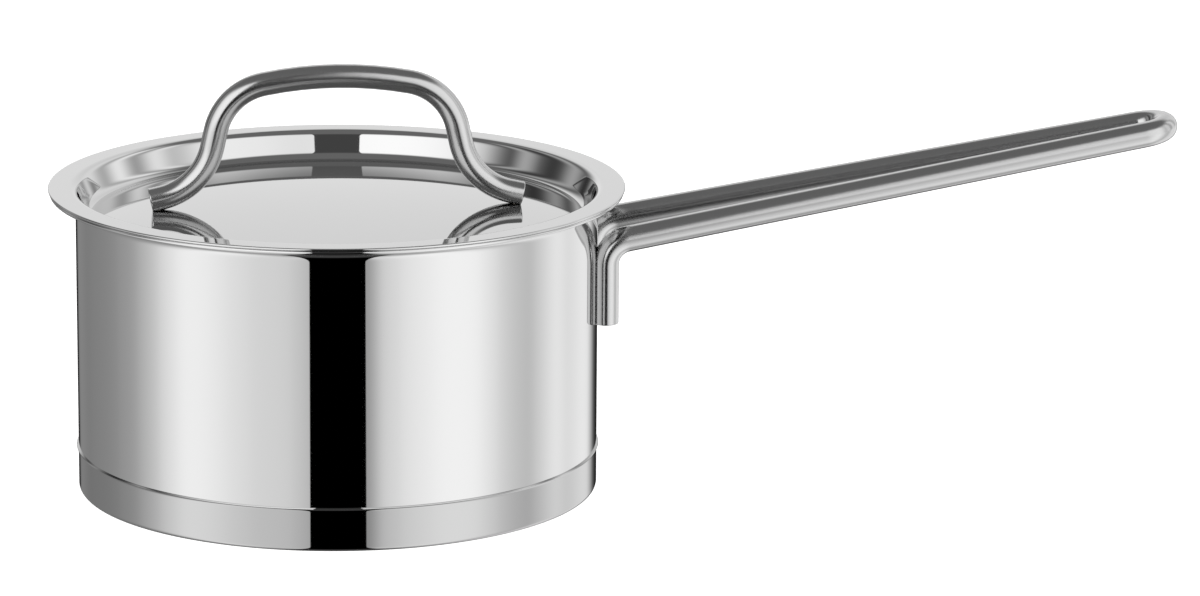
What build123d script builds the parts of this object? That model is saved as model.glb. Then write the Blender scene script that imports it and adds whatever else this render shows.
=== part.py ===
from build123d import *
import os
from math import atan2, asin, cos, degrees, hypot, radians, sin, sqrt, tan

# Stainless saucepan with a pressed steel lid. Millimetres, +Z up.
# The origin is the centre of the base's underside. The long handle points along +X.

# ---- pan body: one drawn sheet, cylindrical, flared into a pouring rim ----
PAN_INNER_D = 160.0          # nominal size of the pan
PAN_HEIGHT = 94.5            # from the worktop to the top of the rim
WALL = 0.8                   # sheet thickness of the body
CORNER_INNER_R = 6.2         # inside radius between the floor and the wall
FLARE_R = 3.6                # mid-sheet radius of the bend into the pouring rim
FLARE_ANGLE = 80.0           # degrees turned outwards by that bend
RIM_STRAIGHT = 4.78          # flat part of the rim, from the bend to the bead's centre
RIM_BEAD_D = 1.3             # rounded edge at the end of the rim

# ---- base: aluminium disc enclosed by a steel cap ----
CAP_SHEET = 0.6              # thickness of the cap under the disc
CAP_SIDE_SHEET = 0.5         # thickness of the cap's side
CORE_THICKNESS = 6.0         # aluminium disc under the pan floor
CORE_SKIRT = 4.0             # how far the aluminium climbs round the pan's corner
CAP_CORNER_R = 1.4           # outside radius at the foot of the cap
CAP_LIP_RISE = 1.0           # height over which the cap's top edge opens out
CAP_LIP_PROUD = 0.55         # how far the lip stands outside the wall
CAP_LIP_EDGE = 0.2           # softened top edge of the lip

# ---- long handle: one round rod bent into a hairpin ----
ROD_D = 8.0
LEG_SPACING = 31.4           # centre to centre at the pan
LEG_FLAT = 1.2               # how much of the rod is flattened against the wall
LEG_LENGTH = 25.5            # from the legs' lower end to the knee
KNEE_BELOW_RIM = 16.0        # from the rim's top to where leg and shaft lines cross
KNEE_R = 8.0                 # bend radius between leg and shaft, on the rod's axis
SHAFT_SLOPE = 9.83           # degrees above the horizontal
TIP_BEND_R = 8.0             # radius of the closed end, on the rod's axis
HANDLE_REACH = 178.0         # from the legs to the rod's axis at the closed end, level
ROD_EDGE = 0.4               # softened cut ends

# ---- lid: one pressed sheet with a sunk, slightly domed centre ----
LID_SHEET = 0.8
FLANGE_OVERHANG = 0.45       # how far the lid's edge stands outside the rim bead
SEAT_GAP = 0.05              # between the rim bead and the flange at rest
RECESS_GAP = 0.80            # between the lid's sunk wall and the pan's inside
RECESS_DEPTH = 8.9           # flange's top to the dome's outer edge
RECESS_DRAFT = 21.5          # degrees by which the sunk wall leans
DOME_RISE = 3.7              # dome's centre above its edge
SHOULDER_R = 2.6             # flange into sunk wall, on the upper side
FOOT_FILLET_R = 3.5          # sunk wall into dome, on the upper side

# ---- lid handle: one round rod bent into a bridge ----
GRIP_D = 7.5
CROWN_R = 120.0              # gentle bow of the grip, on the rod's axis
CROWN_HALF = 22.6            # half length of the bowed part
SHOULDER_BEND_R = 18.75
LEG_ANGLE = 77.6             # degrees below the horizontal
LEG_STRAIGHT = 5.4
FOOT_BEND_R = 20.4
FOOT_SLOPE = 12.65           # degrees below the horizontal
GRIP_HALF_SPAN = 57.8        # centre to the end of a foot
FOOT_FLAT = 0.5              # how much of a foot's end is pressed flat on the dome

# ---- resistance welds, half in each piece ----
WELD_THICKNESS = 0.5
PAN_WELD_D = 3.6
PAN_WELD_PITCH = 8.0
LID_WELD_D = 2.2
LID_WELD_SETBACK = 2.2       # from a foot's end to its weld

# ---- sizes that follow from the ones above ----
INNER_R = PAN_INNER_D / 2
OUTER_R = INNER_R + WALL
FLOOR_Z = CAP_SHEET + CORE_THICKNESS
CORNER_OUTER_R = CORNER_INNER_R + WALL
FLARE_CENTRE_R = INNER_R + WALL / 2 + FLARE_R
FLARE_SIN = sin(radians(FLARE_ANGLE))
FLARE_COS = cos(radians(FLARE_ANGLE))
BEAD_R = FLARE_CENTRE_R - FLARE_R * FLARE_COS + RIM_STRAIGHT * FLARE_SIN
BEAD_Z = PAN_HEIGHT - RIM_BEAD_D / 2
FLARE_START_Z = BEAD_Z - RIM_STRAIGHT * FLARE_COS - FLARE_R * FLARE_SIN
RIM_R = BEAD_R + RIM_BEAD_D / 2
CAP_TOP_Z = FLOOR_Z + CORNER_OUTER_R
CORE_TOP_Z = FLOOR_Z + CORE_SKIRT

LEG_Y = LEG_SPACING / 2
LEG_R = OUTER_R + ROD_D / 2 - LEG_FLAT
LEG_X = sqrt(LEG_R ** 2 - LEG_Y ** 2)
KNEE_Z = PAN_HEIGHT - KNEE_BELOW_RIM
LEG_FOOT_Z = KNEE_Z - LEG_LENGTH

FLANGE_Z = PAN_HEIGHT + SEAT_GAP + LID_SHEET
FLANGE_R = RIM_R + FLANGE_OVERHANG
FLANGE_EDGE_R = FLANGE_R - LID_SHEET / 2
FILLET_CENTRE_R = INNER_R - RECESS_GAP - LID_SHEET - FOOT_FILLET_R
FILLET_CENTRE_Z = FLANGE_Z - RECESS_DEPTH + FOOT_FILLET_R
DOME_TOP_Z = FLANGE_Z - RECESS_DEPTH + DOME_RISE
DOME_CENTRE_Z = (DOME_TOP_Z + FILLET_CENTRE_Z + FOOT_FILLET_R - FILLET_CENTRE_R ** 2 / DOME_RISE) / 2
DOME_SPHERE_R = DOME_TOP_Z - DOME_CENTRE_Z
SHOULDER_CENTRE_Z = FLANGE_Z - SHOULDER_R
SUNK_WALL_RISE = SHOULDER_CENTRE_Z - FILLET_CENTRE_Z
SUNK_BENDS_R = FOOT_FILLET_R + SHOULDER_R
DRAFT_SIN = sin(radians(RECESS_DRAFT))
DRAFT_COS = cos(radians(RECESS_DRAFT))
SUNK_WALL_LENGTH = (SUNK_WALL_RISE + SUNK_BENDS_R * DRAFT_SIN) / DRAFT_COS
SHOULDER_CENTRE_R = FILLET_CENTRE_R + SUNK_BENDS_R * DRAFT_COS + SUNK_WALL_LENGTH * DRAFT_SIN


def revolved(face):
    """A full turn of a face drawn in the plane of radius and height."""
    return revolve(face, Axis.Z)


def body_profile():
    """The drawn sheet's section: outside up, round the rim, inside down."""
    with BuildSketch(Plane.XZ) as section:
        with BuildLine():
            floor = Line((0, FLOOR_Z), (OUTER_R - CORNER_OUTER_R, FLOOR_Z))
            corner = JernArc(floor @ 1, (1, 0), CORNER_OUTER_R, 90)
            wall = Line(corner @ 1, (OUTER_R, FLARE_START_Z))
            flare = JernArc(wall @ 1, (0, 1), FLARE_R - WALL / 2, -FLARE_ANGLE)
            in_floor = Line((0, FLOOR_Z + WALL), (INNER_R - CORNER_INNER_R, FLOOR_Z + WALL))
            in_corner = JernArc(in_floor @ 1, (1, 0), CORNER_INNER_R, 90)
            in_wall = Line(in_corner @ 1, (INNER_R, FLARE_START_Z))
            in_flare = JernArc(in_wall @ 1, (0, 1), FLARE_R + WALL / 2, -FLARE_ANGLE)
            rim = Line(flare @ 1, flare @ 1 + (flare % 1) * RIM_STRAIGHT)
            in_rim = Line(in_flare @ 1, in_flare @ 1 + (in_flare % 1) * RIM_STRAIGHT)
            Line(rim @ 1, in_rim @ 1)
            Line(in_floor @ 0, floor @ 0)
        make_face()
        with Locations((BEAD_R, BEAD_Z)):
            Circle(RIM_BEAD_D / 2)
    return section.sketch


def body_envelope():
    """Everything inside the body's outer skin below the flare, as one solid."""
    with BuildSketch(Plane.XZ) as section:
        with BuildLine():
            floor = Line((0, FLOOR_Z), (OUTER_R - CORNER_OUTER_R, FLOOR_Z))
            corner = JernArc(floor @ 1, (1, 0), CORNER_OUTER_R, 90)
            wall = Line(corner @ 1, (OUTER_R, FLARE_START_Z))
            lid_line = Line(wall @ 1, (0, FLARE_START_Z))
            Line(lid_line @ 1, floor @ 0)
        make_face()
    return revolved(section.sketch)


def cap_cavity():
    """The space inside the cap that the aluminium fills."""
    inner_r = OUTER_R - CAP_SIDE_SHEET
    inner_corner = CAP_CORNER_R - CAP_SIDE_SHEET
    with BuildSketch(Plane.XZ) as section:
        with BuildLine():
            floor = Line((0, CAP_SHEET), (inner_r - inner_corner, CAP_SHEET))
            corner = JernArc(floor @ 1, (1, 0), inner_corner, 90)
            side = Line(corner @ 1, (inner_r, CORE_TOP_Z))
            top = Line(side @ 1, (0, CORE_TOP_Z))
            Line(top @ 1, floor @ 0)
        make_face()
    return revolved(section.sketch)


def cap_outside():
    """The cap's outer shape: flat foot, rounded corner, straight side, open lip."""
    lip_start = CAP_TOP_Z - CAP_LIP_RISE
    lip_r = OUTER_R + CAP_LIP_PROUD
    with BuildSketch(Plane.XZ) as section:
        with BuildLine():
            floor = Line((0, 0), (OUTER_R - CAP_CORNER_R, 0))
            corner = JernArc(floor @ 1, (1, 0), CAP_CORNER_R, 90)
            side = Line(corner @ 1, (OUTER_R, lip_start))
            lip = TangentArc(side @ 1, (lip_r, CAP_TOP_Z - CAP_LIP_EDGE), tangent=(0, 1))
            edge = Line(lip @ 1, (lip_r - CAP_LIP_EDGE, CAP_TOP_Z))
            top = Line(edge @ 1, (0, CAP_TOP_Z))
            Line(top @ 1, floor @ 0)
        make_face()
    return revolved(section.sketch)


def rounded_corner(before, corner, after, radius):
    """A tangent arc of the given radius at a corner between two straight runs."""
    corner = Vector(*corner)
    towards_before = (Vector(*before) - corner).normalized()
    towards_after = (Vector(*after) - corner).normalized()
    half = radians(towards_before.get_angle(towards_after)) / 2
    bisector = (towards_before + towards_after).normalized()
    start = corner + towards_before * (radius / tan(half))
    end = corner + towards_after * (radius / tan(half))
    middle = corner + bisector * (radius / sin(half) - radius)
    return ThreePointArc(start, middle, end)


def hairpin_path():
    """The long handle's axis: up one leg, out, round the tip, back and down."""
    slope = radians(SHAFT_SLOPE)
    shaft_plane = Plane(
        origin=(LEG_X, 0, KNEE_Z),
        x_dir=(cos(slope), 0, sin(slope)),
        z_dir=(-sin(slope), 0, cos(slope)),
    )
    tip_centre = HANDLE_REACH / cos(slope) - TIP_BEND_R
    knee_to_centre = hypot(tip_centre, LEG_Y)
    converge = atan2(LEG_Y, tip_centre) - asin(TIP_BEND_R / knee_to_centre)
    tip_start = (tip_centre + TIP_BEND_R * sin(converge), -TIP_BEND_R * cos(converge))
    tip_start = shaft_plane.from_local_coords((*tip_start, 0))
    tip_middle = shaft_plane.from_local_coords((tip_centre + TIP_BEND_R, 0, 0))
    foot = Vector(LEG_X, -LEG_Y, LEG_FOOT_Z)
    knee = Vector(LEG_X, -LEG_Y, KNEE_Z)
    bend = rounded_corner(foot, knee, tip_start, KNEE_R)
    one_side = [Line(foot, bend @ 0), bend, Line(bend @ 1, tip_start)]
    other_side = [edge.mirror(Plane.XZ) for edge in one_side]
    tip_end = Vector(tip_start.X, -tip_start.Y, tip_start.Z)
    tip = ThreePointArc(tip_start, tip_middle, tip_end)
    return Wire([*one_side, tip, *other_side])


def rod_along(path, diameter):
    """A round rod of one diameter along a path."""
    start = Plane(origin=path @ 0, z_dir=path % 0)
    return sweep(start * Circle(diameter / 2), path=path)


def bridge_path(top_z):
    """The lid handle's axis at a given crown height, foot to foot in the XZ plane."""
    crown_angle = degrees(asin(CROWN_HALF / CROWN_R))
    crown = JernArc((0, top_z), (1, 0), CROWN_R, -crown_angle)
    shoulder = JernArc(crown @ 1, crown % 1, SHOULDER_BEND_R, crown_angle - LEG_ANGLE)
    leg_end = shoulder @ 1 + (shoulder % 1) * LEG_STRAIGHT
    leg = Line(shoulder @ 1, leg_end)
    foot_bend = JernArc(leg_end, leg % 1, FOOT_BEND_R, LEG_ANGLE - FOOT_SLOPE)
    along_foot = (GRIP_HALF_SPAN - (foot_bend @ 1).X) / cos(radians(FOOT_SLOPE))
    foot = Line(foot_bend @ 1, foot_bend @ 1 + (foot_bend % 1) * along_foot)
    half = [Plane.XZ * edge for edge in (crown, shoulder, leg, foot_bend, foot)]
    other = [edge.mirror(Plane.YZ) for edge in half]
    return Wire([*reversed(other), *half])


def dome_height(radius):
    """Height of the dome's upper side at a distance from the pan's axis."""
    return DOME_CENTRE_Z + sqrt(DOME_SPHERE_R ** 2 - radius ** 2)


def seated_bridge_path():
    """The lid handle's axis, raised so that its feet press on the dome."""
    trial = bridge_path(0)
    foot_end = trial @ 1
    foot_z = dome_height(GRIP_HALF_SPAN) + GRIP_D / 2 - FOOT_FLAT
    return bridge_path(foot_z - foot_end.Z)


def lid_profile():
    """The pressed sheet's section: concentric arcs either side of one mid-line."""
    dome_lean = degrees(atan2(FILLET_CENTRE_R, FILLET_CENTRE_Z - DOME_CENTRE_Z))
    under_sphere_r = DOME_SPHERE_R - LID_SHEET
    with BuildSketch(Plane.XZ) as section:
        with BuildLine():
            top = skin(DOME_SPHERE_R, FOOT_FILLET_R, SHOULDER_R, dome_lean, FLANGE_Z)
            under = skin(
                under_sphere_r, FOOT_FILLET_R + LID_SHEET, SHOULDER_R - LID_SHEET,
                dome_lean, FLANGE_Z - LID_SHEET,
            )
            edge_middle = (FLANGE_R, FLANGE_Z - LID_SHEET / 2)
            ThreePointArc(top[1], edge_middle, under[1])
            Line(under[0], top[0])
        make_face()
    return section.sketch


def skin(sphere_r, fillet_r, shoulder_r, dome_lean, flange_z):
    """One side of the lid's sheet, from its centre to its edge. Returns both ends."""
    dome = CenterArc((0, DOME_CENTRE_Z), sphere_r, 90, -dome_lean)
    foot = CenterArc(
        (FILLET_CENTRE_R, FILLET_CENTRE_Z), fillet_r, -90 - dome_lean,
        90 + dome_lean - RECESS_DRAFT,
    )
    shoulder = CenterArc(
        (SHOULDER_CENTRE_R, SHOULDER_CENTRE_Z), shoulder_r,
        180 - RECESS_DRAFT, RECESS_DRAFT - 90,
    )
    Line(foot @ 1, shoulder @ 0)
    flange = Line(shoulder @ 1, (FLANGE_EDGE_R, flange_z))
    return dome @ 0, flange @ 1


def pan_weld_places():
    """Where the pan handle's welds sit, as planes whose Z points out of the wall."""
    leg_angle = atan2(LEG_Y, LEG_X)
    straight_top = KNEE_Z - KNEE_R
    middle_z = (LEG_FOOT_Z + straight_top) / 2
    places = []
    for side in (-1, 1):
        for step in (-0.5, 0.5):
            out = Vector(cos(leg_angle), side * sin(leg_angle), 0)
            height = Vector(0, 0, middle_z + step * PAN_WELD_PITCH)
            places.append(Plane(origin=out * OUTER_R + height, z_dir=out))
    return places


def lid_weld_places():
    """Where the lid handle's welds sit, as planes whose Z points out of the dome."""
    weld_r = GRIP_HALF_SPAN - LID_WELD_SETBACK
    lean = asin(weld_r / DOME_SPHERE_R)
    places = []
    for side in (-1, 1):
        out = Vector(side * sin(lean), 0, cos(lean))
        places.append(Plane(origin=(side * weld_r, 0, dome_height(weld_r)), z_dir=out))
    return places


def weld_slugs(places, diameter):
    """Short discs centred on the faces that they join."""
    return [place * Cylinder(diameter / 2, WELD_THICKNESS) for place in places]


def carve(solid, slugs):
    """Take each weld's own space out of a piece that it joins."""
    for slug in slugs:
        solid = solid - slug
    return solid


def make_pan_body(welds):
    return carve(revolved(body_profile()), welds)


def make_base_core():
    return cap_cavity() - body_envelope()


def make_base_cap():
    return cap_outside() - cap_cavity() - body_envelope()


def make_pan_handle(welds):
    rod = rod_along(hairpin_path(), ROD_D)
    feet = rod.edges().filter_by(GeomType.CIRCLE).group_by(Axis.Z)[0]
    rod = fillet(feet, ROD_EDGE)
    return carve(rod - body_envelope(), welds)


def make_lid(welds):
    return carve(revolved(lid_profile()), welds)


def make_lid_handle(welds):
    rod = rod_along(seated_bridge_path(), GRIP_D)
    rings = rod.edges().filter_by(GeomType.CIRCLE)
    ends = [ring for ring in rings if abs(ring.arc_center.X) > GRIP_HALF_SPAN - ROD_EDGE]
    rod = fillet(ends, ROD_EDGE)
    dome = Pos(0, 0, DOME_CENTRE_Z) * Sphere(DOME_SPHERE_R)
    return carve(rod - dome, welds)


pan_welds = weld_slugs(pan_weld_places(), PAN_WELD_D)
lid_welds = weld_slugs(lid_weld_places(), LID_WELD_D)
parts = {
    "pan_body": make_pan_body(pan_welds),
    "base_core": make_base_core(),
    "base_cap": make_base_cap(),
    "pan_handle": make_pan_handle(pan_welds),
    "pan_handle_welds": Compound(children=pan_welds),
    "lid": make_lid(lid_welds),
    "lid_handle": make_lid_handle(lid_welds),
    "lid_handle_welds": Compound(children=lid_welds),
}

os.makedirs("parts", exist_ok=True)
for node, shape in parts.items():
    export_step(shape, f"parts/{node}.step")
    print(node, round(shape.volume, 1), shape.bounding_box())
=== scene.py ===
# %% [markdown]
# # A stainless saucepan with a steel lid
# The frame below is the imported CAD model: where each piece is and what it rides on.
# The pieces that shine are built again here with fine, smooth meshes, because a mirror shows
# every flat facet. They take their places and outer sizes from the frame.

# %% Load the frame
import bpy
import bmesh
from math import acos, asin, atan2, cos, degrees, hypot, pi, radians, sin, sqrt, tan
from mathutils import Matrix, Quaternion, Vector


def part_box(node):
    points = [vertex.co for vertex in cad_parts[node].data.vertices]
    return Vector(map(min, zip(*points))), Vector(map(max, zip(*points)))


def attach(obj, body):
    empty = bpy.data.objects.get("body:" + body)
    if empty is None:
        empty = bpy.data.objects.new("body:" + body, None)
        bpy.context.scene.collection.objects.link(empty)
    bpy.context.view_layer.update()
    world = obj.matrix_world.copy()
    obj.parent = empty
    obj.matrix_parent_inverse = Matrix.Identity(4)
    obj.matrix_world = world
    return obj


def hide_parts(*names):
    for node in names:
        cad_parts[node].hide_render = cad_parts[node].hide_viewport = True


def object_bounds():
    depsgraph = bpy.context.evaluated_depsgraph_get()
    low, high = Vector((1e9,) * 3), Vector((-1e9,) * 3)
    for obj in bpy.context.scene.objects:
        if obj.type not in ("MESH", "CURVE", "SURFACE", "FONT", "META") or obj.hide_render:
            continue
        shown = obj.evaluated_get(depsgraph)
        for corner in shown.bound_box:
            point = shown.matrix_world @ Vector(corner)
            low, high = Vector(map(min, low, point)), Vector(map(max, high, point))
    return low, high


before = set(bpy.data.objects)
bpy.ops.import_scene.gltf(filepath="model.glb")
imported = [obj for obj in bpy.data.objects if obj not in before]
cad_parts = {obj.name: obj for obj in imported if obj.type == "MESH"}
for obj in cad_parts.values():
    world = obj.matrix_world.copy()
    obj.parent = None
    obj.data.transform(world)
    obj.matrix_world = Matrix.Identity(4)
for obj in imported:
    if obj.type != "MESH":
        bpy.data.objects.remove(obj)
cad_low, cad_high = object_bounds()
print("nodes:", sorted(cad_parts))

# %% [markdown]
# ## Sizes
# Outer sizes are read off the frame's boxes. Sheet thicknesses, bend radii and slopes can't be
# read off a box, so they are named here, each once: lengths in metres, angles in degrees.

# %% Read the outer sizes
MM = 0.001
body_low, body_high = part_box("pan_body")
cap_low, cap_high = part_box("base_cap")
lid_low, lid_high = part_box("lid")
grip_low, grip_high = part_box("lid_handle")
shaft_low, shaft_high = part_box("pan_handle")
rim_r, rim_z, floor_z = body_high.x, body_high.z, body_low.z
cap_z = cap_high.z
print("rim", round(rim_r, 5), round(rim_z, 5), "lid", round(lid_high.x, 5), round(lid_high.z, 5))

# %% Name the sheet and bend sizes
WALL = 0.8 * MM
FLARE_R = 3.6 * MM
FLARE_ANGLE = 80
RIM_STRAIGHT = 4.78 * MM
RIM_BEAD_D = 1.3 * MM
CORNER_INNER_R = 6.2 * MM
CAP_SHEET = 0.6 * MM
CAP_SIDE_SHEET = 0.5 * MM
CAP_CORNER_R = 1.4 * MM
CAP_LIP_RISE = 1.0 * MM
CAP_LIP_EDGE = 0.2 * MM
LID_SHEET = 0.8 * MM
RECESS_DEPTH = lid_high.z - lid_low.z - LID_SHEET
RECESS_DRAFT = 21.5
RECESS_GAP = 0.8 * MM
DOME_RISE = 3.7 * MM
SHOULDER_R = 2.6 * MM
FOOT_FILLET_R = 3.5 * MM
bead_r = rim_r - RIM_BEAD_D / 2
bead_z = rim_z - RIM_BEAD_D / 2
outwards, upwards = sin(radians(FLARE_ANGLE)), cos(radians(FLARE_ANGLE))
flare_centre_r = bead_r - RIM_STRAIGHT * outwards + FLARE_R * upwards
flare_z = bead_z - RIM_STRAIGHT * upwards - FLARE_R * outwards
outer_r = flare_centre_r - FLARE_R + WALL / 2
inner_r = outer_r - WALL
print("pan bore", round(2 * inner_r / MM, 2), "mm, flare starts at", round(flare_z / MM, 2), "mm")

# %% [markdown]
# ## Drawing a section and turning it
# A drawn pan, its base and its lid are all round, so each starts as half of its section: a
# vertex that is extruded for a straight stretch and spun for a bend. One full spin round the
# pan's axis then makes the skin. A straight stretch gets a short edge at each end. Those hold
# the shading true there, so the bend beside it doesn't pull the mirror out of shape.

# %% Helpers for sections
HOLD = 0.3 * MM
MERGE = 0.001 * MM
TURN_STEPS = 256
BEND_STEP = 7.5
FEWEST_STEPS = 3


def start(bm, radius, height):
    """The first vertex of a section."""
    return bmesh.ops.create_vert(bm, co=(radius, 0, height))["vert"][0]


def step_to(bm, vert, place):
    """One edge from a vertex to a place. Returns the new vertex."""
    new = bmesh.ops.extrude_vert_indiv(bm, verts=[vert])["verts"][0]
    new.co = place
    return new


def run(bm, vert, radius, height):
    """A straight stretch, with a short edge at each end of a long one."""
    origin, end = vert.co.copy(), Vector((radius, 0, height))
    along = end - origin
    if along.length > 4 * HOLD:
        hold = along.normalized() * HOLD
        vert = step_to(bm, vert, origin + hold)
        vert = step_to(bm, vert, end - hold)
    return step_to(bm, vert, end)


def bend(bm, vert, centre_r, centre_z, angle, steps=None):
    """An arc round a centre. Clockwise is positive, with the radius rightwards and Z up.

    Returns its last vertex.
    """
    steps = steps or max(FEWEST_STEPS, round(abs(angle) / BEND_STEP))
    made = bmesh.ops.spin(
        bm, geom=[vert], cent=(centre_r, 0, centre_z), axis=(0, 1, 0), dvec=(0, 0, 0),
        angle=radians(angle), steps=steps, use_merge=False, use_normal_flip=False,
        use_duplicate=False,
    )
    return next(g for g in made["geom_last"] if isinstance(g, bmesh.types.BMVert))


def turn(bm):
    """Spins the section into a closed skin, merged at the axis, with faces outwards."""
    bmesh.ops.spin(
        bm, geom=bm.verts[:] + bm.edges[:], cent=(0, 0, 0), axis=(0, 0, 1), dvec=(0, 0, 0),
        angle=2 * pi, steps=TURN_STEPS, use_merge=True, use_normal_flip=False,
        use_duplicate=False,
    )
    bmesh.ops.remove_doubles(bm, verts=bm.verts[:], dist=MERGE)
    bmesh.ops.recalc_face_normals(bm, faces=bm.faces[:])


# %% Turn a bmesh into a finished piece
SHARP = 32


def finish_piece(bm, name, body, node, materials):
    """Makes the object, shades it smooth up to sharp edges, and seats it on the frame."""
    mesh = bpy.data.meshes.new(name)
    bm.to_mesh(mesh)
    bm.free()
    mesh.shade_smooth()
    mesh.set_sharp_from_angle(angle=radians(SHARP))
    piece = bpy.data.objects.new(name, mesh)
    bpy.context.scene.collection.objects.link(piece)
    for material in materials:
        mesh.materials.append(material)
    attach(piece, body)
    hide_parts(node)
    low, high = Vector(piece.bound_box[0]), Vector(piece.bound_box[6])
    size = [round(v / MM, 2) for v in high - low]
    print(name, size, "mm,", len(mesh.polygons), "faces")
    return piece


# %% [markdown]
# ## Materials
# All that shows is stainless steel: 18/10 in the pan, the lid and the rods, and 18/0 in the cap
# of the base. What differs is how each surface was finished, and in steel that is nearly all
# the eye has to go by. So the materials are close in colour and differ in roughness, in the
# direction of their fine lines and in how deep those lines are. A metal keeps the default IOR.

# %% Helpers for materials
def linear(code):
    """An sRGB hex colour as linear RGBA."""
    channels = [int(code[i:i + 2], 16) / 255 for i in (1, 3, 5)]
    return (*[c / 12.92 if c <= 0.04045 else ((c + 0.055) / 1.055) ** 2.4 for c in channels], 1)


def add(tree, kind, settings=None, inputs=None):
    """Adds a node, sets its properties, and fills or links its inputs."""
    node = tree.nodes.new(kind)
    for name, value in (settings or {}).items():
        setattr(node, name, value)
    for socket, value in (inputs or {}).items():
        if isinstance(value, bpy.types.NodeSocket):
            tree.links.new(value, node.inputs[socket])
        else:
            node.inputs[socket].default_value = value
    return node


def new_metal(name, colour):
    """A material with a metallic Principled shader. Returns it, its tree and the shader."""
    material = bpy.data.materials.new(name)
    material.use_nodes = True
    tree = material.node_tree
    shader = tree.nodes["Principled BSDF"]
    shader.inputs["Base Color"].default_value = linear(colour)
    shader.inputs["Metallic"].default_value = 1
    return material, tree, shader


def spread(tree, value, low, high):
    """Maps a 0 to 1 pattern onto a range."""
    inputs = {"Value": value, "To Min": low, "To Max": high}
    return add(tree, "ShaderNodeMapRange", {}, inputs).outputs["Result"]


def roughen(tree, shader, pattern, low, high):
    """Lets the roughness follow a pattern, between two values."""
    tree.links.new(spread(tree, pattern, low, high), shader.inputs["Roughness"])


def turned_lines(tree, spacing, sweep):
    """Fine lines that run round the pan's axis, spacing apart, each fading over sweep."""
    place = add(tree, "ShaderNodeTexCoord").outputs["Object"]
    flat = add(tree, "ShaderNodeVectorMath", {"operation": "MULTIPLY"}, {0: place, 1: (1, 1, 0)})
    radius = add(tree, "ShaderNodeVectorMath", {"operation": "LENGTH"}, {0: flat.outputs["Vector"]})
    split = add(tree, "ShaderNodeSeparateXYZ", {}, {"Vector": place})
    along = add(
        tree, "ShaderNodeMath", {"operation": "ADD"},
        {0: radius.outputs["Value"], 1: split.outputs["Z"]},
    )
    across = add(
        tree, "ShaderNodeMath", {"operation": "MULTIPLY"},
        {0: along.outputs["Value"], 1: sweep / spacing},
    )
    joined = add(
        tree, "ShaderNodeCombineXYZ", {},
        {"X": split.outputs["X"], "Y": split.outputs["Y"], "Z": across.outputs["Value"]},
    )
    noise = add(
        tree, "ShaderNodeTexNoise", {},
        {"Vector": joined.outputs["Vector"], "Scale": 1 / sweep, "Detail": 2, "Roughness": 0.5},
    )
    return noise.outputs["Fac"]


def cloudy(tree, size, detail=2):
    """A soft all-round pattern with blotches of about the given size."""
    place = add(tree, "ShaderNodeTexCoord").outputs["Object"]
    inputs = {"Vector": place, "Scale": 1 / size, "Detail": detail}
    return add(tree, "ShaderNodeTexNoise", {}, inputs).outputs["Fac"]


def comb_round(tree, shader, amount):
    """Stretches highlights across lines that run round the pan's axis."""
    tangent = add(tree, "ShaderNodeTangent", {"direction_type": "RADIAL", "axis": "Z"})
    tree.links.new(tangent.outputs["Tangent"], shader.inputs["Tangent"])
    shader.inputs["Anisotropic"].default_value = amount


def relief(tree, shader, height, depth):
    """Feeds a height pattern of the given depth, in metres, to the shader's normal."""
    bump = add(tree, "ShaderNodeBump", {}, {"Height": height, "Strength": 1, "Distance": depth})
    tree.links.new(bump.outputs["Normal"], shader.inputs["Normal"])


# %% [markdown]
# ### Mirror-polished 18/10 stainless
# The outside of the pan and the lid are buffed on a wheel to a mirror. What is left of the
# wheel is a faint haze in lines round the pan, and the mirror is a little cloudier where a
# cloth has wiped it. A wheel's own lines are finer than a tenth of a millimetre. Here they lie
# 0.25 mm apart, because finer ones wouldn't show. The steel's grey is neutral and it returns
# about 60% of the light. The cap of the base is magnetic 18/0 steel, buffed the same way, which
# comes out a little darker.

# %% Make the mirror-polished steel
STEEL = "#CDCDCD"
CAP_STEEL = "#B7B7B7"


def mirror_polished(name, colour):
    """Hazy lines round the pan, more of them where a cloth has wiped."""
    material, tree, shader = new_metal(name, colour)
    lines = turned_lines(tree, spacing=0.25 * MM, sweep=30 * MM)
    wiped = cloudy(tree, size=35 * MM)
    haze = add(tree, "ShaderNodeMath", {"operation": "MULTIPLY"}, {0: lines, 1: wiped})
    roughen(tree, shader, haze.outputs["Value"], low=0.012, high=0.06)
    relief(tree, shader, lines, depth=0.00002 * MM)
    return material


polished = mirror_polished("mirror_polished_18_10_stainless", STEEL)
cap_steel = mirror_polished("mirror_polished_18_0_stainless", CAP_STEEL)
print("made", polished.name, "and", cap_steel.name)

# %% [markdown]
# ### Satin-brushed stainless, inside the pan
# The inside is brushed on a lathe so that wear doesn't show. The lines run round the floor
# and, ring above ring, up the wall. They lie 0.4 mm apart, about twice as coarse as real ones,
# so that they show. Lines all one way blur a reflection across themselves only, so a highlight
# on the floor opens into a fan, as on any turned metal.

# %% Make the satin steel
def satin_brushed_stainless():
    material, tree, shader = new_metal("satin_brushed_18_10_stainless", "#D2D2D2")
    lines = turned_lines(tree, spacing=0.4 * MM, sweep=25 * MM)
    roughen(tree, shader, lines, low=0.24, high=0.46)
    comb_round(tree, shader, amount=0.75)
    relief(tree, shader, lines, depth=0.004 * MM)
    return material


satin = satin_brushed_stainless()
print("made", satin.name)

# %% [markdown]
# ### Turned steel, under the base
# The foot of the cap is faced on a lathe, dead flat and a little coarser than the inside, so
# that it sits well on a hob. The tool's rings are half a millimetre apart.

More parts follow.
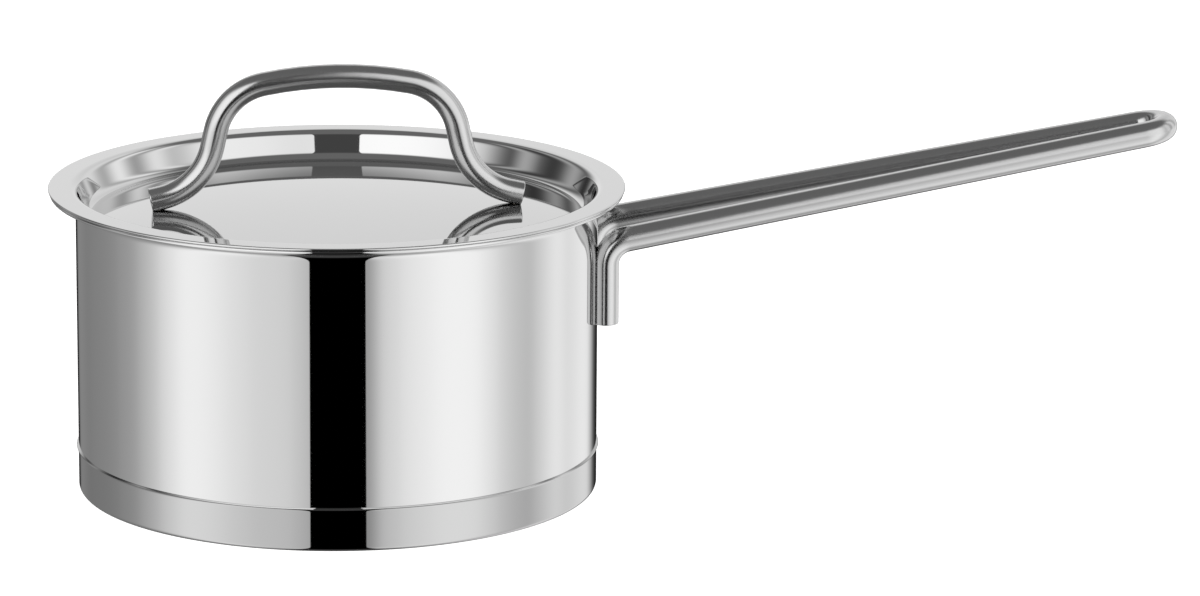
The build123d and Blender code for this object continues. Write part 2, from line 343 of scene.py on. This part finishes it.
# %% Make the turned steel
def turned_stainless():
    material, tree, shader = new_metal("lathe_turned_18_0_stainless", "#C2C2C2")
    lines = turned_lines(tree, spacing=0.5 * MM, sweep=80 * MM)
    wear = cloudy(tree, size=9 * MM, detail=4)
    mixed = add(tree, "ShaderNodeMath", {"operation": "MULTIPLY"}, {0: lines, 1: wear})
    roughen(tree, shader, mixed.outputs["Value"], low=0.16, high=0.6)
    comb_round(tree, shader, amount=0.6)
    relief(tree, shader, lines, depth=0.004 * MM)
    return material


turned = turned_stainless()
print("made", turned.name)

# %% [markdown]
# ### Drawn and polished rod
# Both handles are cold-drawn rod, polished after bending. Rod is harder to buff than sheet,
# so a fine grain is left, and it lays a thin grey veil over the sharp reflection. The grain
# is a tenth of a millimetre, drawn here about three times coarser so that it still shows.

# %% Make the rod's steel
def drawn_polished_rod():
    material, tree, shader = new_metal("drawn_polished_18_10_rod", "#C2C2C2")
    grain = cloudy(tree, size=0.35 * MM, detail=1)
    roughen(tree, shader, grain, low=0.175, high=0.2)
    return material


rod_steel = drawn_polished_rod()
print("made", rod_steel.name)

# %% [markdown]
# ### The pieces that stay out of sight
# The aluminium disc and the weld nuggets are shut in between other pieces, so the CAD shapes
# do as they are. They still get the finish that the real ones have. Rolled aluminium is dull
# and a little blotchy. A nugget is steel that has melted and set, rough and faintly brown.

# %% Finish the hidden pieces
def rolled_aluminium():
    material, tree, shader = new_metal("rolled_1050_aluminium", "#D9DADB")
    roughen(tree, shader, cloudy(tree, size=4 * MM, detail=5), low=0.28, high=0.5)
    relief(tree, shader, cloudy(tree, size=0.8 * MM, detail=3), depth=0.003 * MM)
    return material


def weld_nugget():
    material, tree, shader = new_metal("resistance_weld_nugget", "#A9A198")
    roughen(tree, shader, cloudy(tree, size=0.6 * MM, detail=4), low=0.32, high=0.6)
    relief(tree, shader, cloudy(tree, size=0.4 * MM, detail=4), depth=0.01 * MM)
    return material


def paint(node, material):
    """Gives a CAD node that stays its material."""
    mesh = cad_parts[node].data
    mesh.materials.clear()
    mesh.materials.append(material)


aluminium = rolled_aluminium()
nugget = weld_nugget()
paint("base_core", aluminium)
paint("pan_handle_welds", nugget)
paint("lid_handle_welds", nugget)
print("painted the disc and the welds")

# %% [markdown]
# ## The pan's body
# One sheet, drawn into a straight-sided cup and flared at the mouth. Its edge is rounded to a
# bead where it was trimmed. A cup could be a cylinder with a Solidify modifier, but the flare
# and the bead want a real section, so the whole section is drawn, outside first.

# %% Draw and turn the body
SKIN_MEETS_BEAD = asin(WALL / RIM_BEAD_D)
FLARE_STEPS = 14
BEAD_STEPS = 22


def bead_point(angle):
    """A point on the rim bead, with the angle measured from the sheet's own line."""
    lean = radians(90 - FLARE_ANGLE) + angle
    reach = Vector((cos(lean), 0, sin(lean))) * (RIM_BEAD_D / 2)
    return Vector((bead_r, 0, bead_z)) + reach


def body_section(bm):
    """The drawn sheet: outside up, round the rim's bead, inside down."""
    corner_r = CORNER_INNER_R + WALL
    vert = run(bm, start(bm, 0, floor_z), outer_r - corner_r, floor_z)
    vert = bend(bm, vert, outer_r - corner_r, floor_z + corner_r, -90)
    vert = run(bm, vert, outer_r, flare_z)
    vert = bend(bm, vert, flare_centre_r, flare_z, FLARE_ANGLE, FLARE_STEPS)
    meeting = bead_point(SKIN_MEETS_BEAD - pi)
    vert = run(bm, vert, meeting.x, meeting.z)
    round_bead = degrees(2 * SKIN_MEETS_BEAD) - 360
    vert = bend(bm, vert, bead_r, bead_z, round_bead, BEAD_STEPS)
    inside = start(bm, inner_r, flare_z)
    lip = bend(bm, inside, flare_centre_r, flare_z, FLARE_ANGLE, FLARE_STEPS)
    run(bm, lip, vert.co.x, vert.co.z)
    vert = run(bm, inside, inner_r, floor_z + corner_r)
    vert = bend(bm, vert, inner_r - CORNER_INNER_R, floor_z + corner_r, 90)
    run(bm, vert, 0, floor_z + WALL)


def is_brushed(face):
    """True on the inner skin below the flare. The flare itself is polished."""
    middle = face.calc_center_median()
    inwards = Vector((-middle.x, -middle.y, 0)).normalized() + Vector((0, 0, 1))
    return face.normal.dot(inwards) > 0 and middle.z < flare_z


body_mesh = bmesh.new()
body_section(body_mesh)
turn(body_mesh)
for face in body_mesh.faces:
    face.material_index = int(is_brushed(face))
finish_piece(
    body_mesh, "drawn_body", "pan", "pan_body", [polished, satin]
)

# %% [markdown]
# ## The cap of the base
# A shallow steel dish holds the aluminium disc against the floor. Its side is flush with the
# wall below and opens into a thin lip at the top, which shows as one fine line round the pan.
# Its foot is turned flat.

# %% Draw and turn the cap
CAP_LIP_STEPS = 8
FACING_DOWN = -0.9


def cap_section(bm):
    """The dish: under the foot, up the side, over the lip and back down inside it."""
    side_r = outer_r
    lip_r = cap_high.x
    proud = lip_r - side_r
    lip_z = cap_z - CAP_LIP_EDGE
    straight_top = cap_z - CAP_LIP_RISE
    rise = lip_z - straight_top
    lip_bend_r = (rise ** 2 + proud ** 2) / (2 * proud)
    lip_angle = degrees(asin(rise / lip_bend_r))
    vert = run(bm, start(bm, 0, cap_low.z), side_r - CAP_CORNER_R, cap_low.z)
    vert = bend(bm, vert, side_r - CAP_CORNER_R, cap_low.z + CAP_CORNER_R, -90)
    vert = run(bm, vert, side_r, straight_top)
    vert = bend(bm, vert, side_r + lip_bend_r, straight_top, lip_angle, CAP_LIP_STEPS)
    vert = step_to(bm, vert, Vector((lip_r - CAP_LIP_EDGE / 2, 0, cap_z)))
    vert = step_to(bm, vert, Vector((side_r, 0, cap_z)))
    inside_r = side_r - CAP_SIDE_SHEET
    vert = step_to(bm, vert, Vector((inside_r, 0, floor_z)))
    vert = run(bm, vert, inside_r, CAP_SHEET)
    run(bm, vert, 0, CAP_SHEET)


cap_mesh = bmesh.new()
cap_section(cap_mesh)
turn(cap_mesh)
for face in cap_mesh.faces:
    face.material_index = int(face.normal.z < FACING_DOWN)
finish_piece(cap_mesh, "base_cap_shell", "pan", "base_cap", [cap_steel, turned])

# %% [markdown]
# ## The lid
# One pressed sheet: a flat flange that rests on the rim, a short sunk wall that drops inside
# the pan, and a centre that is very slightly domed. The dome is a mirror like the rest, so its
# bow decides where the flange and the handle's feet show again in it.

# %% Draw and turn the lid
flange_z = lid_high.z
flange_r = lid_high.x
fillet_r = inner_r - RECESS_GAP - LID_SHEET - FOOT_FILLET_R
fillet_z = flange_z - RECESS_DEPTH + FOOT_FILLET_R
dome_z = flange_z - RECESS_DEPTH + DOME_RISE
dome_centre_z = (dome_z + fillet_z + FOOT_FILLET_R - fillet_r ** 2 / DOME_RISE) / 2
dome_sphere_r = dome_z - dome_centre_z
dome_lean = degrees(atan2(fillet_r, fillet_z - dome_centre_z))
DOME_STEPS = 26
FILLET_STEPS = 12
SHOULDER_STEPS = 10
EDGE_STEPS = 12


def shoulder_centre():
    """The centre of the bend from the sunk wall into the flange."""
    draft = radians(RECESS_DRAFT)
    bends = FOOT_FILLET_R + SHOULDER_R
    height = flange_z - SHOULDER_R
    length = (height - fillet_z + bends * sin(draft)) / cos(draft)
    return fillet_r + bends * cos(draft) + length * sin(draft), height


def lid_side(bm, sphere_r, bend_r, edge_z):
    """One side of the sheet, from the middle to the edge. Returns its last vertex."""
    vert = start(bm, 0, dome_centre_z + sphere_r)
    vert = bend(bm, vert, 0, dome_centre_z, dome_lean, DOME_STEPS)
    vert = bend(bm, vert, fillet_r, fillet_z, RECESS_DRAFT - 90 - dome_lean, FILLET_STEPS)
    centre_r, centre_z = shoulder_centre()
    draft = radians(RECESS_DRAFT)
    top = (centre_r - bend_r * cos(draft), centre_z + bend_r * sin(draft))
    vert = run(bm, vert, *top)
    vert = bend(bm, vert, centre_r, centre_z, 90 - RECESS_DRAFT, SHOULDER_STEPS)
    return run(bm, vert, flange_r - LID_SHEET / 2, edge_z)


def lid_section(bm):
    """Both sides of the sheet, joined by its rounded edge."""
    lid_side(bm, dome_sphere_r - LID_SHEET, SHOULDER_R - LID_SHEET, flange_z - LID_SHEET)
    top = lid_side(bm, dome_sphere_r, SHOULDER_R, flange_z)
    bend(bm, top, flange_r - LID_SHEET / 2, flange_z - LID_SHEET / 2, 180, EDGE_STEPS)


lid_mesh = bmesh.new()
lid_section(lid_mesh)
bmesh.ops.remove_doubles(lid_mesh, verts=lid_mesh.verts[:], dist=MERGE)
turn(lid_mesh)
finish_piece(lid_mesh, "pressed_lid", "lid", "lid", [polished])

# %% [markdown]
# ## Bent rods
# Each handle is one round rod. A bent rod is made the way a bender makes it: a ring is drawn
# out along a straight, then spun round a bend's centre, then drawn out again. Half of the rod
# is enough, because both handles are the same on each side of a plane.

# %% Helpers for rods
RING_STEPS = 56
ROD_EDGE = 0.4 * MM
ROD_EDGE_STEPS = 4
ROD_HOLD = 0.5 * MM
ROD_BEND_STEP = 4.5
FEWEST_ROD_STEPS = 4


def ring(bm, place, direction, diameter):
    """A ring of edges square to a direction."""
    turn_to = direction.to_track_quat("Z", "Y").to_matrix().to_4x4()
    made = bmesh.ops.create_circle(
        bm, segments=RING_STEPS, radius=diameter / 2, matrix=Matrix.Translation(place) @ turn_to
    )
    return list({edge for vert in made["verts"] for edge in vert.link_edges})


def edges_of(geometry):
    """The edges among what an operator has made."""
    return [g for g in geometry if isinstance(g, bmesh.types.BMEdge)]


def draw_out(bm, edges, along):
    """Draws a ring out along a straight, with a short stretch at each end."""
    hold = along.normalized() * min(ROD_HOLD, along.length / 4)
    for stretch in (hold, along - 2 * hold, hold):
        made = bmesh.ops.extrude_edge_only(bm, edges=edges)["geom"]
        moved = [g for g in made if isinstance(g, bmesh.types.BMVert)]
        bmesh.ops.translate(bm, verts=moved, vec=stretch)
        edges = [e for e in edges_of(made) if all(v in moved for v in e.verts)]
    return edges


def bend_rod(bm, edges, centre, axis, angle):
    """Spins a ring round a bend's centre. Returns the ring at its end."""
    verts = list({vert for edge in edges for vert in edge.verts})
    steps = max(FEWEST_ROD_STEPS, round(abs(angle) / ROD_BEND_STEP))
    made = bmesh.ops.spin(
        bm, geom=verts + edges, cent=centre, axis=axis, dvec=(0, 0, 0), angle=radians(angle),
        steps=steps, use_merge=False, use_normal_flip=False, use_duplicate=False,
    )
    return edges_of(made["geom_last"])


def close_end(bm, edges):
    """Closes a ring with a flat end and softens its edge."""
    end = bmesh.ops.contextual_create(bm, geom=edges)["faces"]
    bmesh.ops.bevel(
        bm, geom=list(end[0].edges), offset=ROD_EDGE, offset_type="OFFSET",
        segments=ROD_EDGE_STEPS, profile=0.5, affect="EDGES", material=-1,
    )


def mirror_rod(bm, axis):
    """Adds the other half of a rod and joins the two at the middle ring."""
    bmesh.ops.mirror(
        bm, geom=bm.verts[:] + bm.edges[:] + bm.faces[:], axis=axis, merge_dist=MERGE
    )
    bmesh.ops.remove_doubles(bm, verts=bm.verts[:], dist=MERGE)
    bmesh.ops.recalc_face_normals(bm, faces=bm.faces[:])


# %% [markdown]
# ## The lid's handle
# A bridge: a gently bowed grip, a shoulder, a short leg, and a foot that sweeps out and lies
# on the dome. The feet are pressed flat where they are welded, so the vertices that would
# sink into the dome are lifted onto it.

# %% Bend the lid's handle
CROWN_R = 120 * MM
CROWN_HALF = 22.6 * MM
SHOULDER_BEND_R = 18.75 * MM
GRIP_LEG_ANGLE = 77.6
GRIP_LEG = 5.4 * MM
FOOT_BEND_R = 20.4 * MM
FOOT_SLOPE = 12.65
GRIP_HALF_SPAN = 57.8 * MM
grip_d = grip_high.y - grip_low.y
crown_z = grip_high.z - grip_d / 2
crown_angle = degrees(asin(CROWN_HALF / CROWN_R))


def sloped(angle):
    """A direction in the XZ plane, so many degrees below the horizontal."""
    return Vector((cos(radians(angle)), 0, -sin(radians(angle))))


def under(angle):
    """Square to that direction, towards the inside of a bend that turns downwards."""
    return Vector((-sin(radians(angle)), 0, -cos(radians(angle))))


def bend_bridge(bm):
    """Half of the lid's handle, from the middle of the grip to the end of one foot."""
    at = Vector((0, 0, crown_z))
    edges = ring(bm, at, Vector((1, 0, 0)), grip_d)
    centre = at + under(0) * CROWN_R
    edges = bend_rod(bm, edges, centre, (0, 1, 0), crown_angle)
    at = centre - under(crown_angle) * CROWN_R
    centre = at + under(crown_angle) * SHOULDER_BEND_R
    edges = bend_rod(bm, edges, centre, (0, 1, 0), GRIP_LEG_ANGLE - crown_angle)
    at = centre - under(GRIP_LEG_ANGLE) * SHOULDER_BEND_R
    edges = draw_out(bm, edges, sloped(GRIP_LEG_ANGLE) * GRIP_LEG)
    at = at + sloped(GRIP_LEG_ANGLE) * GRIP_LEG
    centre = at - under(GRIP_LEG_ANGLE) * FOOT_BEND_R
    edges = bend_rod(bm, edges, centre, (0, 1, 0), FOOT_SLOPE - GRIP_LEG_ANGLE)
    at = centre + under(FOOT_SLOPE) * FOOT_BEND_R
    length = (GRIP_HALF_SPAN - at.x) / cos(radians(FOOT_SLOPE))
    edges = draw_out(bm, edges, sloped(FOOT_SLOPE) * length)
    close_end(bm, edges)


def press_onto_dome(bm):
    """Lifts what would sink into the lid onto its dome."""
    for vert in bm.verts:
        from_centre = vert.co - Vector((0, 0, dome_centre_z))
        if from_centre.length < dome_sphere_r:
            level = sqrt(dome_sphere_r ** 2 - vert.co.x ** 2 - vert.co.y ** 2)
            vert.co.z = dome_centre_z + level


bridge_mesh = bmesh.new()
bend_bridge(bridge_mesh)
press_onto_dome(bridge_mesh)
mirror_rod(bridge_mesh, "X")
finish_piece(bridge_mesh, "bridge_handle", "lid", "lid_handle", [rod_steel])

# %% [markdown]
# ## The pan's long handle
# One rod folded into a narrow hairpin. The closed end hangs on a hook. At the pan both ends
# turn down and lie against the wall, where they are welded. The two sides draw together
# slightly towards the closed end, and the whole handle climbs away from the pan.

# %% Bend the long handle
ROD_D = 8 * MM
LEG_FLAT = 1.2 * MM
KNEE_R = 8 * MM
KNEE_BELOW_RIM = 16 * MM
SHAFT_SLOPE = 9.83
TIP_BEND_R = 8 * MM
HANDLE_REACH = 178 * MM
leg_y = (shaft_high.y - shaft_low.y - ROD_D) / 2
leg_wall_r = outer_r + ROD_D / 2 - LEG_FLAT
leg_x = sqrt(leg_wall_r ** 2 - leg_y ** 2)
knee_z = rim_z - KNEE_BELOW_RIM
shaft_x = Vector((cos(radians(SHAFT_SLOPE)), 0, sin(radians(SHAFT_SLOPE))))
shaft_up = Vector((-sin(radians(SHAFT_SLOPE)), 0, cos(radians(SHAFT_SLOPE))))


def bend_hairpin(bm):
    """Half of the long handle, from the middle of its closed end to one foot."""
    sideways = Vector((0, -1, 0))
    to_centre = HANDLE_REACH / shaft_x.x - TIP_BEND_R
    converge = degrees(atan2(leg_y, to_centre) - asin(TIP_BEND_R / hypot(to_centre, leg_y)))
    knee = Vector((leg_x, -leg_y, knee_z))
    centre = Vector((leg_x, 0, knee_z)) + shaft_x * to_centre
    at = centre + shaft_x * TIP_BEND_R
    edges = ring(bm, at, sideways, ROD_D)
    tip_turn = 90 - converge
    edges = bend_rod(bm, edges, centre, -shaft_up, tip_turn)
    swing = Quaternion(-shaft_up, radians(tip_turn))
    at = centre + swing @ (shaft_x * TIP_BEND_R)
    back = (knee - at).normalized()
    down = Vector((0, 0, -1))
    knee_turn = degrees(acos(back.dot(down)))
    before = KNEE_R * tan(radians(knee_turn / 2))
    edges = draw_out(bm, edges, knee - back * before - at)
    inside = (down - back * back.dot(down)).normalized()
    knee_centre = knee - back * before + inside * KNEE_R
    edges = bend_rod(bm, edges, knee_centre, back.cross(down), knee_turn)
    edges = draw_out(bm, edges, down * (knee_z - before - shaft_low.z))
    close_end(bm, edges)


def press_onto_wall(bm):
    """Flattens what would sink into the pan's wall, along the legs."""
    for vert in bm.verts:
        reach = hypot(vert.co.x, vert.co.y)
        if reach < outer_r and vert.co.z < flare_z:
            vert.co.x *= outer_r / reach
            vert.co.y *= outer_r / reach


hairpin_mesh = bmesh.new()
bend_hairpin(hairpin_mesh)
press_onto_wall(hairpin_mesh)
mirror_rod(hairpin_mesh, "Y")
finish_piece(hairpin_mesh, "hairpin_handle", "pan", "pan_handle", [rod_steel])

# %% [markdown]
# ## Floor
# A plain white surface, lit a little from below as a light table is, so that it stays paler
# than anything on it and only the contact shadow shows. Polished steel would show the whole
# table in its lower half, so the table is left out of the reflections.

# %% Lay the floor
FLOOR_SIZE = 12
FLOOR_BELOW = 0.02 * MM
FLOOR_GLOW = 0.85


def light_table():
    """Matt white that gives off some light of its own."""
    material = bpy.data.materials.new("white_light_table")
    material.use_nodes = True
    tree = material.node_tree
    shader = tree.nodes["Principled BSDF"]
    shader.inputs["Base Color"].default_value = linear("#F4F4F4")
    shader.inputs["Roughness"].default_value = 0.9
    shader.inputs["Specular IOR Level"].default_value = 0
    shader.inputs["Emission Color"].default_value = linear("#FFFFFF")
    shader.inputs["Emission Strength"].default_value = FLOOR_GLOW
    return material


floor_mesh = bmesh.new()
bmesh.ops.create_grid(floor_mesh, x_segments=1, y_segments=1, size=FLOOR_SIZE / 2)
bmesh.ops.translate(floor_mesh, verts=floor_mesh.verts[:], vec=(0, 0, cad_low.z - FLOOR_BELOW))
floor_data = bpy.data.meshes.new("floor")
floor_mesh.to_mesh(floor_data)
floor_mesh.free()
floor_data.materials.append(light_table())
table = bpy.data.objects.new("floor", floor_data)
bpy.context.scene.collection.objects.link(table)
table.visible_glossy = False
print("floor laid at", round(cad_low.z, 4))

# %% [markdown]
# ## Studio
# A mirror shows nothing but its surroundings, so the studio does most of the work. It stands
# a long way off, as a world that depends on direction only: two big soft boxes left and right,
# a smaller one behind on the right, a grey card behind on the left, a black flag in front, a
# pale backdrop and a dim ceiling. Each stop of the two rings gives a direction round the table
# and how bright it is there, with 0 degrees in front of the pan and 90 on its right. One ring
# is for below the horizon and one for above. The camera itself sees plain white.

# %% Describe the studio
CAMERA_TURN = 4.2
STEEL_RETURNS = 0.61
FLAG_HALF = 11.7
FLAG_NARROWED_BY = 2.3
FLAG_SOFTNESS = 0.2
FLAG_EDGES = 0.05
CEILING = 0.12
UNDERNEATH = 0.30
# Pairs of degrees between which one thing fades into the next. The first says how far the flag
# goes on under the pan. The others are heights.
FLAG_ENDS_UNDER_PAN = (-20, -10)
FLAG_NARROWS = (-10, 20)
FLAG_FADES_UP = (5, 20)
FLAG_FADES_DOWN = (-55, -75)
LOW_TO_HIGH = (-6, 3)
TO_UNDERNEATH = (-50, -80)
TO_CEILING = (36, 54)
ROUND_LOW = [
    (-180, 0.02), (-167, 0.02), (-162, 0.16), (-140, 0.185), (-114, 0.255), (-99, 0.365),
    (-86, 0.58), (-75, 0.78), (-65, 0.84), (-50, 0.75), (-38, 0.66), (-21, 0.59),
    (-12, 0.46), (12, 0.30), (19, 0.56), (28, 0.71), (42, 0.83), (56, 0.87), (66, 0.81),
    (76, 0.65), (90, 0.50), (98, 0.56), (111, 0.74), (122, 0.69), (146, 0.66), (158, 0.10),
    (180, 0.02),
]
ROUND_HIGH = [
    (-180, 0.57), (-163, 0.55), (-148, 0.12), (-134, 0.30), (-122, 0.07), (-108, 0.10),
    (-98, 0.34), (-88, 0.10), (-75, 0.50), (-58, 0.86), (-12, 0.95), (12, 0.75),
    (40, 0.80), (65, 0.78), (82, 0.50), (94, 0.70), (106, 0.32), (118, 0.74),
    (130, 0.38), (142, 0.60), (160, 0.55), (180, 0.57),
]


def grey(level):
    """A grey of that brightness, as linear RGBA."""
    return (level, level, level, 1)


def all_round(tree, azimuth, stops):
    """Brightness by direction round the table, from stops of degrees and level."""
    ramp = add(tree, "ShaderNodeValToRGB", {}, {"Fac": azimuth})
    ramp.color_ramp.interpolation = "CARDINAL"
    for angle, _ in stops[1:-1]:
        ramp.color_ramp.elements.new(0.5 + angle / 360)
    for element, (_, level) in zip(ramp.color_ramp.elements, stops):
        element.color = grey(level)
    return ramp.outputs["Color"]


def fade(tree, value, between):
    """Goes smoothly from 0 to 1 between two values, given in degrees."""
    inputs = {"Value": value, "From Min": radians(between[0]), "From Max": radians(between[1])}
    settings = {"interpolation_type": "SMOOTHSTEP"}
    return add(tree, "ShaderNodeMapRange", settings, inputs).outputs["Result"]


def blend_of(tree, share, first, second):
    """First where share is 0, second where it is 1."""
    settings = {"data_type": "RGBA"}
    inputs = {0: share, 6: first, 7: second}
    return add(tree, "ShaderNodeMix", settings, inputs).outputs[2]


def flag_cover(tree, split, ahead, height):
    """1 where the flag stands: a strip under the pan and up in front, narrower upwards."""
    sideways = add(
        tree, "ShaderNodeMath", {"operation": "ABSOLUTE"}, {0: split.outputs["X"]}
    ).outputs["Value"]
    narrowing = spread(tree, fade(tree, height, FLAG_NARROWS), 0, radians(FLAG_NARROWED_BY))
    sideways = add(
        tree, "ShaderNodeMath", {"operation": "ADD"}, {0: sideways, 1: narrowing}
    ).outputs["Value"]
    inside = fade(tree, sideways, (FLAG_HALF + FLAG_SOFTNESS, FLAG_HALF - FLAG_SOFTNESS))
    in_front = fade(tree, ahead.outputs["Value"], FLAG_ENDS_UNDER_PAN)
    return add(
        tree, "ShaderNodeMath", {"operation": "MULTIPLY"}, {0: inside, 1: in_front}
    ).outputs["Value"]


# %% Light the studio
def build_studio():
    world = bpy.data.worlds.new("studio")
    world.use_nodes = True
    tree = world.node_tree
    tree.nodes.clear()
    way = add(tree, "ShaderNodeTexCoord").outputs["Generated"]
    turned_way = add(
        tree, "ShaderNodeVectorRotate", {"rotation_type": "Z_AXIS"},
        {"Vector": way, "Angle": radians(CAMERA_TURN)},
    )
    split = add(tree, "ShaderNodeSeparateXYZ", {}, {"Vector": turned_way.outputs["Vector"]})
    ahead = add(tree, "ShaderNodeMath", {"operation": "MULTIPLY"}, {0: split.outputs["Y"], 1: -1})
    azimuth = add(
        tree, "ShaderNodeMath", {"operation": "ARCTAN2"},
        {0: split.outputs["X"], 1: ahead.outputs["Value"]},
    ).outputs["Value"]
    height = add(
        tree, "ShaderNodeMath", {"operation": "ARCSINE"}, {0: split.outputs["Z"]}
    ).outputs["Value"]
    share = add(
        tree, "ShaderNodeMapRange", {}, {"Value": azimuth, "From Min": -pi, "From Max": pi}
    ).outputs["Result"]
    low = all_round(tree, share, ROUND_LOW)
    high = all_round(tree, share, ROUND_HIGH)
    walls = blend_of(tree, fade(tree, height, LOW_TO_HIGH), low, high)
    walls = blend_of(tree, fade(tree, height, TO_UNDERNEATH), walls, grey(UNDERNEATH))
    flag = blend_of(tree, fade(tree, height, FLAG_FADES_UP), grey(0), grey(FLAG_EDGES))
    flag = blend_of(tree, fade(tree, height, FLAG_FADES_DOWN), flag, grey(FLAG_EDGES))
    walls = blend_of(tree, flag_cover(tree, split, ahead, height), walls, flag)
    walls = blend_of(tree, fade(tree, height, TO_CEILING), walls, grey(CEILING))
    studio = add(
        tree, "ShaderNodeBackground", {}, {"Color": walls, "Strength": 1 / STEEL_RETURNS}
    )
    white = add(tree, "ShaderNodeBackground", {}, {"Color": linear("#FFFFFF"), "Strength": 1.0})
    seen = add(tree, "ShaderNodeLightPath").outputs["Is Camera Ray"]
    mixed = add(
        tree, "ShaderNodeMixShader", {},
        {0: seen, 1: studio.outputs["Background"], 2: white.outputs["Background"]},
    )
    add(tree, "ShaderNodeOutputWorld", {}, {"Surface": mixed.outputs["Shader"]})
    bpy.context.scene.world = world


build_studio()
print("studio lit")

# %% [markdown]
# ## Camera
# A long lens, a little above the pan and slightly to its left, looking down on the lid. The
# standard view transform keeps white white.

# %% Set up the camera
CAMERA_DISTANCE = 1.8025
CAMERA_HEIGHT = 0.4947
LOOK_RIGHT = 6.795
LOOK_DOWN = 13.585
CAMERA_ROLL = 0.401
LENS = 178.74
SENSOR_WIDTH = 36
NEAREST_SEEN = 0.05


def build_camera():
    data = bpy.data.cameras.new("camera")
    data.sensor_width = SENSOR_WIDTH
    data.lens = LENS
    data.clip_start = NEAREST_SEEN
    camera = bpy.data.objects.new("camera", data)
    bpy.context.scene.collection.objects.link(camera)
    turn_angle = radians(CAMERA_TURN)
    camera.location = (
        -CAMERA_DISTANCE * sin(turn_angle), -CAMERA_DISTANCE * cos(turn_angle), CAMERA_HEIGHT
    )
    camera.rotation_mode = "QUATERNION"
    pan_right = Quaternion((0, 0, 1), radians(-LOOK_RIGHT))
    tilt = Quaternion((1, 0, 0), radians(90 - LOOK_DOWN))
    roll = Quaternion((0, 0, 1), radians(CAMERA_ROLL))
    camera.rotation_quaternion = pan_right @ tilt @ roll
    bpy.context.scene.camera = camera
    bpy.context.scene.view_settings.view_transform = "Standard"


build_camera()
print("camera at", [round(v, 4) for v in bpy.context.scene.camera.location])
